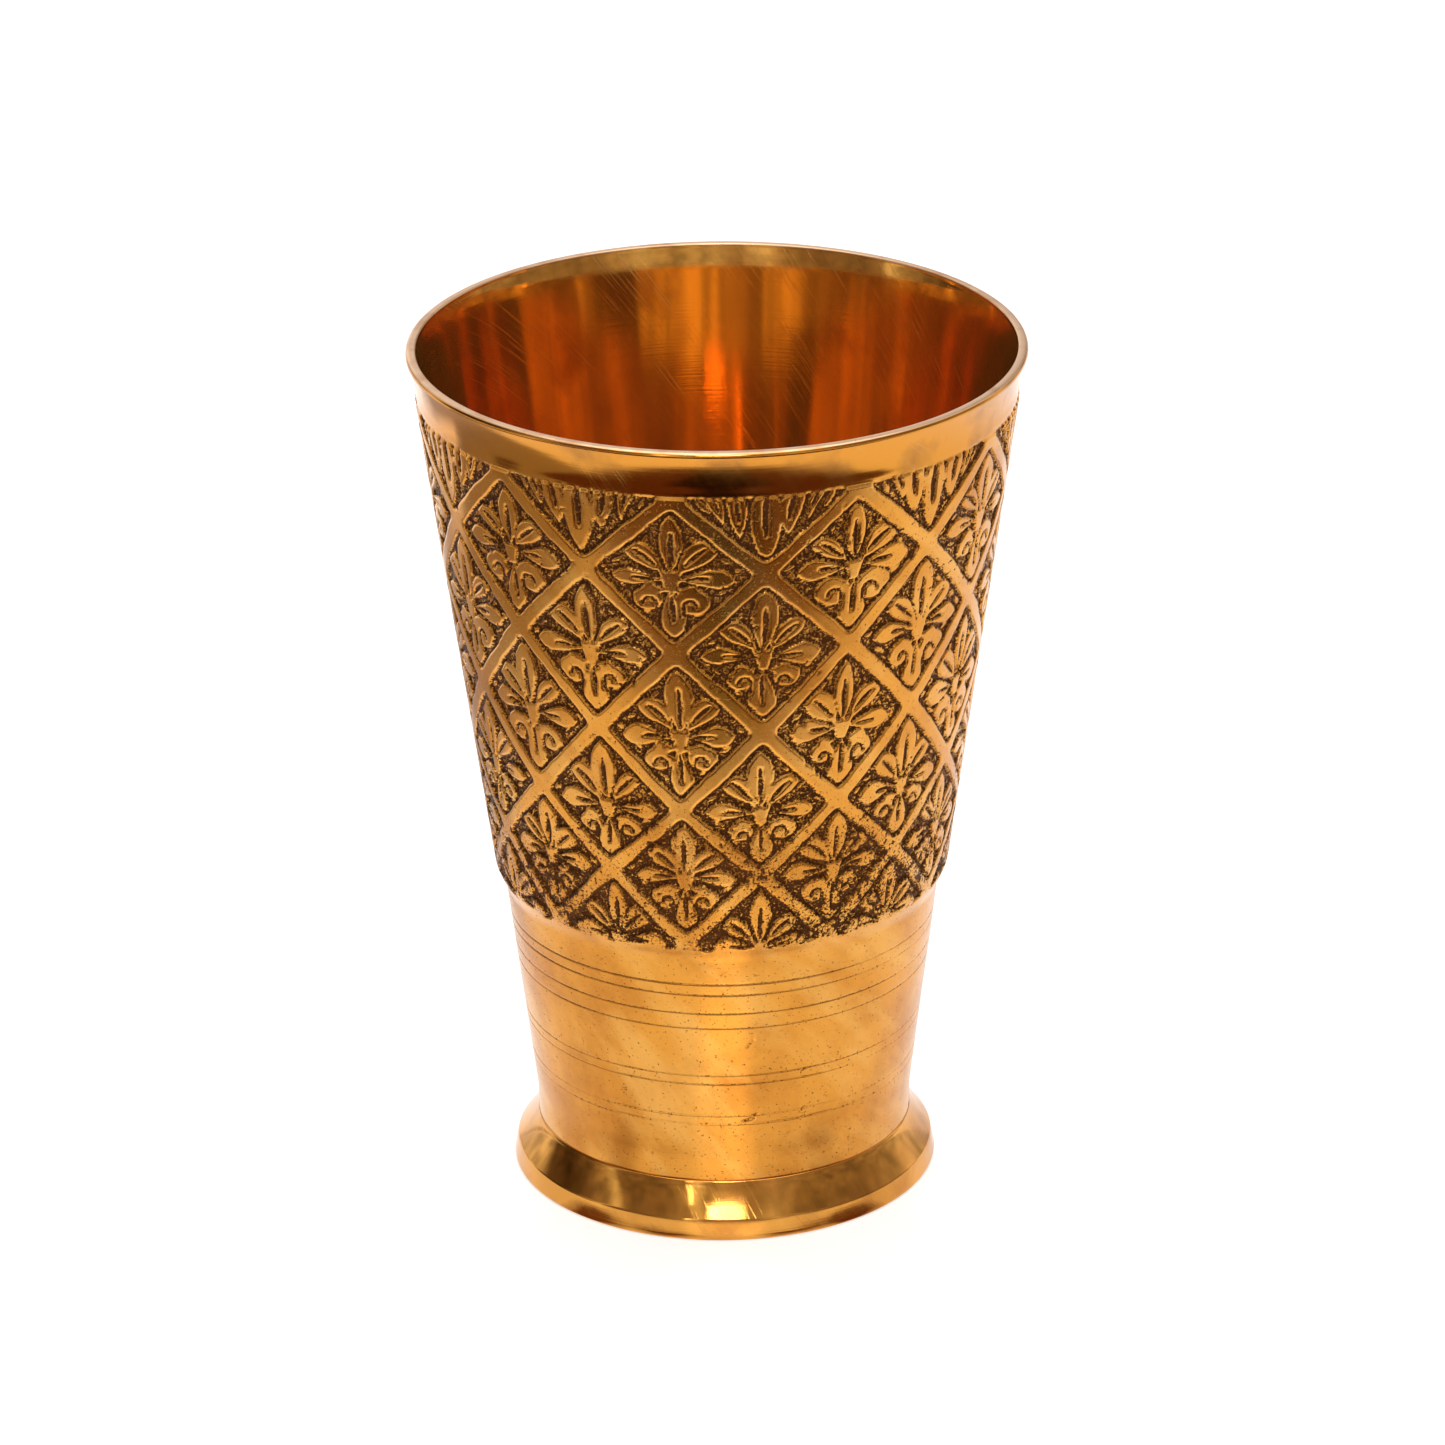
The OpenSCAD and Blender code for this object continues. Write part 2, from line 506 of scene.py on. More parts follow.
@dataclass(frozen=True)
class DarkCard:
    """Matt painted card, which only reflections see, or a glowing card, which paints a highlight into them.

    A soft card thins out from its middle to a ragged oval edge, as a sprayed patch on gauze does.
    """

    name: str
    shade: str = "#3A2414"
    soft: bool = True
    glow: float = 0.0
    rag: float = 0.5
    rag_scale: float = 4.0
    rag_detail: float = 3.0
    cover: Span = Span(1.2, 0.7)

    def build(self) -> bpy.types.Material:
        """Makes the material."""
        material, tree = new_material(self.name)
        surface = add_node(tree, "BsdfDiffuse", {"Color": linear(self.shade)}).outputs[0]
        if self.glow:
            surface = add_node(tree, "Emission", {0: linear(self.shade), 1: self.glow}).outputs[0]
        if self.soft:
            place = add_node(tree, "TexCoord").outputs["Generated"]
            to_middle = {"Vector": place, "Location": (-1.0, -1.0, 0.0), "Scale": (2.0, 2.0, 0.0)}
            centred = add_node(tree, "Mapping", to_middle).outputs[0]
            rag = {"Vector": place, "Scale": self.rag_scale, "Detail": self.rag_detail}
            ragged = add_node(tree, "TexNoise", rag).outputs["Fac"]
            reach = add_node(tree, "VectorMath", {0: centred}, operation="LENGTH").outputs["Value"]
            edge = add_node(
                tree, "Math", {0: ragged, 1: self.rag, 2: reach}, operation="MULTIPLY_ADD"
            ).outputs[0]
            cover = add_node(tree, "MapRange", self.cover.of(edge)).outputs[0]
            clear = add_node(tree, "BsdfTransparent").outputs[0]
            surface = add_node(tree, "MixShader", {0: cover, 1: clear, 2: surface}).outputs[0]
        add_node(tree, "OutputMaterial", {"Surface": surface})
        return material


# ---------------------------------------------------------------------------------------------
# Meshes of revolution
# ---------------------------------------------------------------------------------------------


@dataclass
class Revolved:
    """A closed ring-shaped solid: a closed outline, turned about the upright axis.

    Each ring may differ in radius and height from column to column, which carries relief.
    """

    name: str
    radius: np.ndarray
    height: np.ndarray
    material_index: np.ndarray | None = None
    attributes: dict[str, np.ndarray] = field(default_factory=dict)

    def build(self, angles: np.ndarray) -> bpy.types.Object:
        """Makes the object.

        Args:
            angles: the columns' places round the tumbler, in degrees.

        Returns:
            A mesh object, smooth shaded and facing outwards.
        """
        rings, columns = self.radius.shape
        turn = np.radians(angles)[None, :]
        height = np.broadcast_to(self.height, self.radius.shape)
        points = np.stack([self.radius * np.sin(turn), -self.radius * np.cos(turn), height], axis=-1)
        ring, column = np.meshgrid(np.arange(rings), np.arange(columns), indexing="ij")
        above, beside = (ring + 1) % rings, (column + 1) % columns
        corners = [
            ring * columns + column,
            ring * columns + beside,
            above * columns + beside,
            above * columns + column,
        ]
        faces = np.stack(corners, axis=-1).reshape(-1, len(corners))
        starts = np.arange(0, faces.size, len(corners), dtype=np.int32)
        mesh = bpy.data.meshes.new(self.name)
        mesh.vertices.add(rings * columns)
        mesh.vertices.foreach_set("co", (points * MM).astype(np.float32).ravel())
        mesh.loops.add(faces.size)
        mesh.loops.foreach_set("vertex_index", faces.astype(np.int32).ravel())
        mesh.polygons.add(len(faces))
        mesh.polygons.foreach_set("loop_start", starts)
        if self.material_index is not None:
            by_face = np.repeat(self.material_index, columns).astype(np.int32)
            mesh.polygons.foreach_set("material_index", by_face)
        mesh.polygons.foreach_set("use_smooth", np.ones(len(faces), dtype=bool))
        for name, values in self.attributes.items():
            layer = mesh.attributes.new(name, "FLOAT", "POINT")
            layer.data.foreach_set("value", values.astype(np.float32).ravel())
        mesh.update(calc_edges=True)
        mesh.validate()
        piece = bpy.data.objects.new(self.name, mesh)
        bpy.context.scene.collection.objects.link(piece)
        return piece


def walk(corners: list[tuple[float, float]], step: float) -> np.ndarray:
    """Places points along a bent line, no further apart than a step, with one at each corner.

    Args:
        corners: the line's corners, as radius and height.
        step: the longest gap.

    Returns:
        The points, one in each row.
    """
    points = [np.array(corners[0])]
    for start, end in zip(corners[:-1], corners[1:]):
        gap = np.hypot(end[0] - start[0], end[1] - start[1])
        count = max(1, math.ceil(gap / step))
        for i in range(1, count + 1):
            points.append(np.array(start) + (np.array(end) - np.array(start)) * i / count)
    return np.array(points)


def arc(centre: tuple[float, float], radius: float, first: float, last: float, count: int) -> list:
    """Points of an arc, as radius and height, from one angle to another in degrees."""
    turns = np.radians(np.linspace(first, last, count))
    return [(centre[0] + radius * math.cos(a), centre[1] + radius * math.sin(a)) for a in turns]


# ---------------------------------------------------------------------------------------------
# The chased pattern
# ---------------------------------------------------------------------------------------------


@dataclass(frozen=True)
class Leaf:
    """A leaf-shaped stroke, from its root to its tip, with an optional cut along its middle.

    Places are in millimetres from the middle of the flower. A field is positive inside the leaf, and
    says how far in a point is. The cut runs between two shares of the leaf's length.
    """

    root: tuple[float, float]
    tip: tuple[float, float]
    half_width: float
    widest: float = 0.6
    bend: float = 0.0
    cut: tuple[float, float] = (0.0, 0.0)
    cut_half_width: float = 0.0
    leanness: float = 0.7
    cut_taper: tuple[float, float] = (0.12, 0.76)

    def fields(self, x: np.ndarray, y: np.ndarray) -> tuple[np.ndarray, np.ndarray]:
        """Finds how far inside the leaf, and inside its cut, each point is.

        Args:
            x: places to the right of the flower's middle.
            y: places above the flower's middle.

        Returns:
            The leaf's field and the cut's field.
        """
        along = np.array(self.tip) - np.array(self.root)
        length = float(np.hypot(*along))
        ux, uy = along / length
        dx, dy = x - self.root[0], y - self.root[1]
        t = (dx * ux + dy * uy) / length
        inside = np.clip(t, 0.0, 1.0)
        side = dy * ux - dx * uy - self.bend * 4 * inside * (1 - inside)
        skew = math.log(0.5) / math.log(self.widest)
        width = self.half_width * np.sin(math.pi * inside**skew) ** self.leanness
        past = np.abs(t - inside) * length
        leaf = width - np.hypot(side, past)
        low, high = self.cut
        if high <= low:
            return leaf, np.full_like(leaf, OUTSIDE)
        middle = np.clip(t, low, high)
        blunt, run = self.cut_taper
        taper = np.sin(math.pi * (blunt + run * (middle - low) / (high - low)))
        return leaf, self.cut_half_width * taper - np.hypot(side, (t - middle) * length)


@dataclass(frozen=True)
class Hand:
    """How far a chaser's strokes stray: the slip of a tip, and the swell of a width as a share."""

    slip: float
    swell: float
    root_share: float = 0.4
    bend_share: float = 0.6

    def vary(self, leaf: Leaf, rng: np.random.Generator) -> Leaf:
        """Returns a leaf as another stroke of the same hand would cut it."""
        shift = rng.uniform(-self.slip, self.slip, 4)
        grow = 1 + rng.uniform(-self.swell, self.swell)
        bend = leaf.bend + rng.uniform(-self.slip, self.slip) * self.bend_share
        root_x, root_y = leaf.root[0] + shift[0] * self.root_share, leaf.root[1] + shift[1] * self.root_share
        return replace(
            leaf,
            root=(root_x, root_y),
            tip=(leaf.tip[0] + shift[2], leaf.tip[1] + shift[3]),
            half_width=leaf.half_width * grow,
            bend=bend,
            cut_half_width=leaf.cut_half_width * (1 + rng.uniform(-self.swell, self.swell)),
        )

    def draw(
        self, leaves: list[Leaf], x: np.ndarray, y: np.ndarray, rng: np.random.Generator
    ) -> tuple[np.ndarray, np.ndarray]:
        """Draws some leaves, each a little varied.

        Args:
            leaves: the leaves as designed.
            x: places to the right of the drawing's middle.
            y: places above it.
            rng: seeded source of this drawing's own differences.

        Returns:
            Fields of the leaves and of the cuts in them.
        """
        raised, cuts = np.full_like(x, OUTSIDE), np.full_like(x, OUTSIDE)
        for leaf in leaves:
            body, cut = self.vary(leaf, rng).fields(x, y)
            raised, cuts = np.maximum(raised, body), np.maximum(cuts, cut)
        return raised, cuts


@dataclass(frozen=True)
class Flower:
    """The chased flower that fills a diamond: a hub, a crown of petals, two curled lobes and a root.

    Sizes are for a diamond of the widest row, and shrink with the diamond.
    """

    hub_top: float = 0.5
    hub_bottom: float = -2.6
    hub_half_top: float = 1.5
    hub_half_bottom: float = 0.75
    lobe_at: tuple[float, float] = (3.1, -3.9)
    lobe_radius: float = 2.15
    lobe_stretch: tuple[float, float] = (0.94, 1.12)
    curl_radius: float = 0.9
    curl_half_width: float = 0.16
    curl_inset: float = 0.35
    curl_drop: float = 0.75
    curl_tail: float = 1.2
    curl_spread: tuple[float, float] = (0.85, 1.15)
    off_centre: float = 0.3
    hand: Hand = Hand(0.38, 0.16)

    def crown(self) -> list[Leaf]:
        """Leaves of the whole flower, before any hand has varied them."""
        leaves = [
            Leaf((0, 0.2), (0, 9.5), 1.8, 0.56, 0.0, (0.12, 0.68), 0.34),
            Leaf((0, -2.0), (0, -10.1), 1.85, 0.64, 0.0, (0.16, 0.66), 0.27),
        ]
        for side in (-1, 1):
            leaves += [
                Leaf((side * 0.8, 0.2), (side * 6.0, 5.0), 1.7, 0.62, side * 0.5, (0.24, 0.76), 0.24),
                Leaf((side * 0.9, -0.7), (side * 8.1, -0.5), 1.55, 0.68, side * 0.25, (0.18, 0.58), 0.2),
                Leaf((side * 0.5, -2.4), (side * 3.8, -3.0), 1.2, 0.7, side * 0.1),
            ]
        return leaves

    def fillers(self) -> list[Leaf]:
        """Small shallow strokes that fill the corners between the petals."""
        strokes = []
        for side in (-1, 1):
            strokes += [
                Leaf((side * 2.6, 6.4), (side * 3.7, 5.0), 0.35),
                Leaf((side * 7.9, 0.9), (side * 9.6, 0.1), 0.4),
                Leaf((side * 6.2, 2.4), (side * 7.7, 1.6), 0.35),
                Leaf((side * 5.3, -3.0), (side * 7.4, -1.7), 0.4),
                Leaf((side * 2.6, -6.3), (side * 4.3, -5.4), 0.38),
            ]
        return strokes

    def relief(
        self, x: np.ndarray, y: np.ndarray, rng: np.random.Generator
    ) -> tuple[np.ndarray, np.ndarray, np.ndarray]:
        """Draws one flower.

        Args:
            x: places to the right of the diamond's middle.
            y: places above it.
            rng: seeded source of this flower's own differences.

        Returns:
            Fields of the raised parts, of the cuts in them, and of the shallow strokes.
        """
        stray = self.off_centre
        x, y = x + rng.uniform(-stray, stray), y + rng.uniform(-stray, stray)
        share = np.clip((y - self.hub_bottom) / (self.hub_top - self.hub_bottom), 0, 1)
        half = self.hub_half_bottom + (self.hub_half_top - self.hub_half_bottom) * share
        hub = np.minimum(np.minimum(half - np.abs(x), self.hub_top - y), y - self.hub_bottom)
        leaves, cuts = self.hand.draw(self.crown(), x, y, rng)
        raised = np.maximum(hub, leaves)
        for side in (-1, 1):
            at_x = side * (self.lobe_at[0] + rng.uniform(-stray, stray))
            at_y = self.lobe_at[1] + rng.uniform(-stray, stray)
            size = self.lobe_radius * (1 + rng.uniform(-self.hand.swell, self.hand.swell))
            out = np.hypot((x - at_x) * self.lobe_stretch[0], (y - at_y) * self.lobe_stretch[1])
            raised = np.maximum(raised, size - out)
            curl = self.curl_radius * rng.uniform(*self.curl_spread)
            across, over = x - at_x + side * self.curl_inset, y - at_y + self.curl_drop
            arch = self.curl_half_width - np.abs(np.hypot(across, over) - curl)
            tail = np.hypot(across + side * curl, np.maximum(-over - self.curl_tail, 0))
            end = np.hypot(across - side * curl, over)
            hook = np.where(over >= 0, arch, self.curl_half_width - np.minimum(tail, end))
            cuts = np.maximum(cuts, hook)
        return raised, cuts, self.hand.draw(self.fillers(), x, y, rng)[0]


@dataclass(frozen=True)
class HangingLeaves:
    """Leaves that hang into the half diamonds along the top of the pattern."""

    hand: Hand = Hand(0.35, 0.15)

    def relief(
        self, x: np.ndarray, y: np.ndarray, rng: np.random.Generator
    ) -> tuple[np.ndarray, np.ndarray, np.ndarray]:
        """Draws one half diamond's leaves. Its arguments and results are as for a flower."""
        leaves = [Leaf((0, 2.4), (0, -9.9), 2.0, 0.44, 0.0, (0.16, 0.66), 0.42)]
        strokes = []
        for side in (-1, 1):
            leaves += [
                Leaf((side * 4.3, 2.6), (side * 3.0, -6.0), 1.5, 0.42, side * -0.4, (0.24, 0.7), 0.3),
                Leaf((side * 7.4, 2.0), (side * 5.6, -3.6), 1.0, 0.4, side * -0.3, (0.3, 0.66), 0.2),
            ]
            strokes += [
                Leaf((side * 8.8, 0.6), (side * 7.2, -2.0), 0.5),
                Leaf((side * 3.6, -6.2), (side * 2.0, -7.9), 0.35),
            ]
        raised, cuts = self.hand.draw(leaves, x, y, rng)
        return raised, cuts, self.hand.draw(strokes, x, y, rng)[0]


@dataclass(frozen=True)
class DiamondBand:
    """The chased pattern: a net of flat strips, with a flower in each diamond, on a punched ground."""

    columns: int = 10
    first_column: float = -9.0
    rows: tuple[float, ...] = (46.3, 57.0, 67.3, 79.3, 91.6, 103.6, 114.9)
    full_width: float = 11.9
    full_height: float = 12.0
    reach: float = 1.02
    top: float = 115.2
    bottom: float = 45.7
    bottom_swing: float = 0.5
    bottom_swing_at: float = 150.0
    burr: tuple[float, float, float] = (0.15, 0.25, 0.04)
    strip_half_width: float = 1.12
    tip_round: float = 0.9
    depth: float = 0.48
    cut_depth: float = 0.34
    stroke_height: float = 0.5
    stroke_shrink: float = 0.1
    wall_angle: float = 0.15
    cut_wall: float = 0.4
    pillow: float = 0.035
    pillow_reach: float = 0.32
    flower_gap: float = 0.4
    stroke_gap: float = 0.25
    cut_gap: float = 0.2
    hand_wobble: float = 1.1
    grain: float = 0.08
    worn_heights: tuple[float, float] = (52, 74)
    edge_reach: float = 0.9
    pit_mix: tuple[float, float, float] = (0.35, 0.35, 0.42)
    pit_range: tuple[float, float] = (1.0, 1.25)
    pit_depth: float = 0.1
    pit_patina: float = 0.85
    ground_edge: tuple[float, float] = (-0.06, 0.14)
    open_ground: tuple[float, float] = (0.15, 0.6)
    ground_rub: tuple[float, float, float] = (0.41, 0.16, 0.06)
    slit_edge: tuple[float, float] = (-0.12, 0.02)
    speckle_mix: tuple[float, float, float] = (0.28, 0.2, 0.2)
    most_speckle: float = 0.48
    wave: Unevenness = Unevenness(3.4, 80, 0.16)
    fine_wave: Unevenness = Unevenness(1.1, 220, 0.08)
    spots: Unevenness = Unevenness(0.55, 420)
    blotches: Unevenness = Unevenness(5.0, 44)
    ragged_edge: Unevenness = Unevenness(1.0, 90, 0.35)
    seed: int = 11
    row_seeds: int = 100

    def lattice(self, angles: np.ndarray, z: np.ndarray) -> tuple[np.ndarray, np.ndarray]:
        """Turns places on the wall into the net's own units, in which strips cross at whole numbers.

        Args:
            angles: each column's angle.
            z: each row's height.

        Returns:
            Place round the tumbler and place up it, each as a whole grid.
        """
        half_column = FULL_TURN / 2 / self.columns
        around = (angles - self.first_column) / half_column
        up = np.interp(z, self.rows, np.arange(len(self.rows)))
        above = (z - self.rows[-1]) / (self.rows[-1] - self.rows[-2])
        below = (self.rows[0] - z) / (self.rows[1] - self.rows[0])
        up = up + np.maximum(above, 0) - np.maximum(below, 0)
        return np.meshgrid(around, up)

    def drawings(
        self, around: np.ndarray, up: np.ndarray, net: np.ndarray, wobble: np.ndarray
    ) -> tuple[np.ndarray, np.ndarray, np.ndarray]:
        """Draws what fills each diamond, clear of the strips.

        Args:
            around: place round the tumbler, in the net's units.
            up: place up it.
            net: field of the strips.
            wobble: how far the hand strays at each point.

        Returns:
            Fields of everything raised, of the cuts, and of the shallow strokes.
        """
        raised = net.copy()
        cuts, strokes = np.full_like(net, OUTSIDE), np.full_like(net, OUTSIDE)
        for row in range(len(self.rows)):
            for place in range(2 * self.columns):
                if (row + place) % 2 == 0:
                    continue
                own = np.random.default_rng(self.seed + self.row_seeds * row + place)
                rows = np.abs(up[:, 0] - row) < self.reach
                step = (around[0] - place + self.columns) % (2 * self.columns) - self.columns
                columns = np.abs(step) < self.reach
                grid = np.ix_(rows, columns)
                x = np.broadcast_to(step[columns] * self.full_width, raised[grid].shape)
                y = (up[grid] - row) * self.full_height
                drawing = HangingLeaves() if row == len(self.rows) - 1 else Flower()
                body, cut, stroke = drawing.relief(x, y, own)
                room = -net[grid]
                body = np.minimum(body + wobble[grid], room - self.flower_gap)
                stroke = np.minimum(stroke + wobble[grid], room - self.stroke_gap)
                cut = np.where(room > self.cut_gap, cut, OUTSIDE)
                raised[grid] = np.maximum(raised[grid], body)
                cuts[grid] = np.maximum(cuts[grid], cut)
                strokes[grid] = np.maximum(strokes[grid], stroke)
        return raised, cuts, strokes

    def draw(self, angles: np.ndarray, z: np.ndarray) -> tuple[np.ndarray, np.ndarray]:
        """Draws the whole band.

        Args:
            angles: each column's angle.
            z: each row's height.

        Returns:
            Depth below the plain wall in millimetres, and the share of patina, for each point.
        """
        rng = np.random.default_rng(self.seed)
        around, up = self.lattice(angles, z)
        a, b = (around + up) / 2, (around - up) / 2
        across = 1 / math.hypot(1 / (2 * self.full_width), 1 / (2 * self.full_height))
        rows = z - z.min()
        wave = self.wave.over(rng, rows, angles)
        fine = self.fine_wave.over(rng, rows, angles)
        to_a = np.abs(a - np.round(a)) * across
        to_b = np.abs(b - np.round(b)) * across
        net = self.strip_half_width + wave + fine - smooth_min(to_a, to_b, self.tip_round)
        raised, cuts, strokes = self.drawings(around, up, net, (wave + fine) * self.hand_wobble)
        edge = self.wall_angle
        lift = np.maximum(rise(raised, -edge, edge), self.stroke_height * rise(strokes, -edge, edge))
        low = 1 - lift
        depth = self.depth * low + self.cut_depth * rise(cuts, -edge, edge * self.cut_wall) * lift
        depth += self.pillow * lift * np.clip(1 - raised / self.pillow_reach, 0, 1) ** 2
        depth += self.grain * rng.uniform(-1, 1, net.shape) * low
        worn = fall(z, *self.worn_heights)[:, None]
        spots = self.spots.over(rng, rows, angles)
        blotch = self.blotches.over(rng, rows, angles)
        edge_near = np.clip(1 - raised / self.edge_reach, 0, 1)
        by_blotch, by_edge, by_wear = self.pit_mix
        pits = rise(spots + by_blotch * blotch + by_edge * edge_near + by_wear * worn, *self.pit_range)
        depth += self.pit_depth * pits * lift
        outline = np.maximum(raised, strokes - self.stroke_shrink)
        ground = 1 - rise(outline, *self.ground_edge)
        rubbed, by_blotch, by_spot = self.ground_rub
        rub = rise(-outline, *self.open_ground) * (rubbed + by_blotch * blotch - by_spot * spots)
        crust = ground * (1 - rub)
        slit = rise(cuts, *self.slit_edge)
        base, by_blotch, by_edge = self.speckle_mix
        speckle = worn * np.clip(base + by_blotch * blotch + by_edge * edge_near, 0, self.most_speckle)
        dark = np.maximum(np.maximum(crust, slit), self.pit_patina * pits)
        patina = np.clip(dark + (1 - crust) * speckle, 0, 1)
        ragged = self.ragged_edge.over(rng, np.zeros(1), angles)[0]
        bottom = self.bottom + ragged + self.bottom_swing * np.cos(np.radians(angles - self.bottom_swing_at))
        under_top = fall(z, self.top - 0.25, self.top + 0.1)[:, None]
        inside = rise(z[:, None], bottom - 0.1, bottom + 0.12) * under_top
        above_top, burr_width, burr_height = self.burr
        burr = np.exp(-(((z - self.top - above_top) / burr_width) ** 2))[:, None] * burr_height
        return depth * inside + burr, patina * inside


# ---------------------------------------------------------------------------------------------
# Pieces
# ---------------------------------------------------------------------------------------------


@dataclass
class Wall:
    """The cast wall: spigot, collar with its turned lines, shoulder, chased band, rim band, lip and cup."""

    columns: int = 900
    band_step: float = 0.27
    step: float = 1.0
    close_step: float = 0.14
    shoulder_step: float = 0.3
    rim_step: float = 0.35
    least_step: float = 0.04
    total: float = 122.0
    rim_radius: float = 42.5
    waist_radius: float = 41.2
    rim_low: float = 115.3
    lip: float = 1.4
    lip_outer_round: float = 0.6
    lip_inner_round: float = 0.25
    lip_points: tuple[int, int] = (7, 5)
    lip_turn: float = 170.0
    worn_lip_rings: tuple[int, int] = (3, 11)
    band_low: tuple[float, float] = (31.85, 46.8)
    band_high: tuple[float, float] = (41.35, 115.0)
    shoulder: float = 42.8
    shoulder_top: float = 45.0
    collar_radius: float = 26.4
    collar_top_radius: float = 30.35
    straight_top: float = 11.0
    crease: float = 7.6
    crease_chamfer: float = 0.14
    spigot_radius: float = 25.9
    spigot_low: float = 4.4
    cup: tuple[tuple[float, float], ...] = ((41.1, 121.75), (40.25, 118.2), (28.75, 42.8), (24.2, 8.8))
    cup_flare_points: int = 9
    seat_radius: float = 24.9
    line_heights: tuple[float, ...] = (17.3, 23.9, 33.5, 38.5)
    line_gaps: tuple[float, ...] = (1.4, 1.4, 2.4, 1.7)
    line_width: float = 0.26
    line_depth: float = 0.1
    line_rows: tuple[float, ...] = (-1.5, -0.5, -0.25, 0, 0.25, 0.5, 1.5)
    line_strength: Unevenness = Unevenness(1.0, 24, 0.25)
    line_patina: float = 0.62
    nick_patina: float = 0.5
    slips: tuple[tuple[float, float, float, float, float], ...] = (
        (23.6, 23.2, 22.4, 23.55, 0.1),
        (22.4, 23.55, 22.4, 24.2, 0.1),
        (22.4, 24.2, 23.8, 24.6, 0.1),
        (23.2, 16.3, 24.4, 17.0, 0.1),
        (24.4, 17.0, 22.8, 17.5, 0.1),
        (22.8, 17.5, 24.2, 18.3, 0.1),
        (5.6, 17.1, 8.4, 17.5, 0.22),
        (8.0, 17.7, 9.6, 18.2, 0.16),
        (6.6, 29.2, 8.2, 30.2, 0.12),
        (-31.0, 20.6, -29.6, 20.8, 0.12),
        (83.0, 7.7, 86.0, 8.1, 0.3),
    )
    slip_edge: tuple[float, float] = (0.4, 1.6)
    close_rows: tuple[tuple[float, float], ...] = ((7.75, 8.4), (16.0, 18.7), (22.9, 25.0), (29.0, 30.4))
    plain_below: tuple[float, float] = (43.0, 45.5)
    plain_above: tuple[float, float] = (115.5, 117.0)
    least_plain: float = 0.25
    least_turned: float = 0.45
    dents: Unevenness = Unevenness(9.0, 14, 0.035)
    ripples: Unevenness = Unevenness(3.5, 40, 0.012)
    skim: float = 0.05
    lip_fade: tuple[float, float] = (2.2, 0.2)
    cup_dents: Unevenness = Unevenness(40.0, 26, 0.05)
    cup_ripples: Unevenness = Unevenness(60.0, 90, 0.008)
    cup_fade: tuple[float, float] = (1.0, 6.0)
    seed: int = 5

    def collar_at(self, z: np.ndarray) -> np.ndarray:
        """Radius of the collar's cone at each height."""
        share = (z - self.straight_top) / (self.shoulder - self.straight_top)
        return self.collar_radius + (self.collar_top_radius - self.collar_radius) * np.clip(share, 0, None)

    def band_at(self, z: np.ndarray) -> np.ndarray:
        """Radius of the plain cone under the chased band at each height."""
        (r0, z0), (r1, z1) = self.band_low, self.band_high
        return r0 + (r1 - r0) * (z - z0) / (z1 - z0)

    def turned_lines(self) -> list[float]:
        """Height of each fine line turned into the collar."""
        pairs = zip(self.line_heights, self.line_gaps)
        return [middle + side * gap / 2 for middle, gap in pairs for side in (-1, 1)]

    def heights(self) -> np.ndarray:
        """Heights of the outside's rings, from the crease to the foot of the lip."""
        rows = [np.arange(self.crease + self.crease_chamfer, self.shoulder, self.step)]
        for line in self.turned_lines():
            rows.append(line + np.array(self.line_rows) * self.line_width)
        for low, high in self.close_rows:
            rows.append(np.arange(low, high, self.close_step))
        band_end, lip_start = self.band_high[1], self.total - self.lip_outer_round
        rows.append(np.arange(self.shoulder, self.shoulder_top, self.shoulder_step))
        rows.append(np.arange(self.shoulder_top, band_end + 0.8, self.band_step))
        rows.append(np.arange(band_end + 1.0, lip_start, self.rim_step))
        rows = np.sort(np.concatenate(rows))
        keep = np.concatenate([[True], np.diff(rows) > self.least_step])
        return rows[keep]

    def outside(self, angles: np.ndarray) -> tuple[np.ndarray, np.ndarray, np.ndarray, np.ndarray]:
        """Shapes the outside, from the crease to the foot of the lip.

        Args:
            angles: each column's angle.

        Returns:
            Radius and height of each point, its share of patina, and its share of turning marks.
        """
        rng = np.random.default_rng(self.seed)
        z = self.heights()
        ease = eased((z - self.shoulder) / (self.band_low[1] - self.shoulder))
        radius = self.collar_at(z) * (1 - ease) + self.band_at(z) * ease
        rim_share = (z - self.band_high[1]) / (self.total - self.lip_outer_round - self.band_high[1])
        rim = self.waist_radius + (self.rim_radius - self.waist_radius) * np.clip(rim_share, 0, 1) ** 2
        radius = np.where(z > self.band_high[1], rim, radius)
        relief, patina = DiamondBand().draw(angles, z)
        lines = np.zeros((len(z), len(angles)))
        for line in self.turned_lines():
            strength = 1 - self.line_strength.amount + self.line_strength.over(rng, np.zeros(1), angles)[0]
            shape = np.clip(1 - np.abs(z - line)[:, None] / (self.line_width / 2), 0, 1)
            lines = np.maximum(lines, shape * strength)
        rows = z - z.min()
        dents = self.dents.over(rng, rows, angles) + self.ripples.over(rng, rows, angles)
        plain = (fall(z, *self.plain_below) + rise(z, *self.plain_above))[:, None]
        depth = relief + lines * self.line_depth + (self.skim + dents) * np.clip(plain, self.least_plain, 1)
        fade_from, fade_to = (self.total - drop for drop in self.lip_fade)
        depth *= fall(z, fade_from, fade_to)[:, None]
        nicks = self.nicks(angles, z)
        depth += nicks * self.line_depth
        patina = np.maximum(np.maximum(patina, lines * self.line_patina), nicks * self.nick_patina)
        turned = np.clip(plain, self.least_turned, 1) + np.zeros_like(depth)
        return radius[:, None] - depth, np.broadcast_to(z[:, None], depth.shape), patina, turned

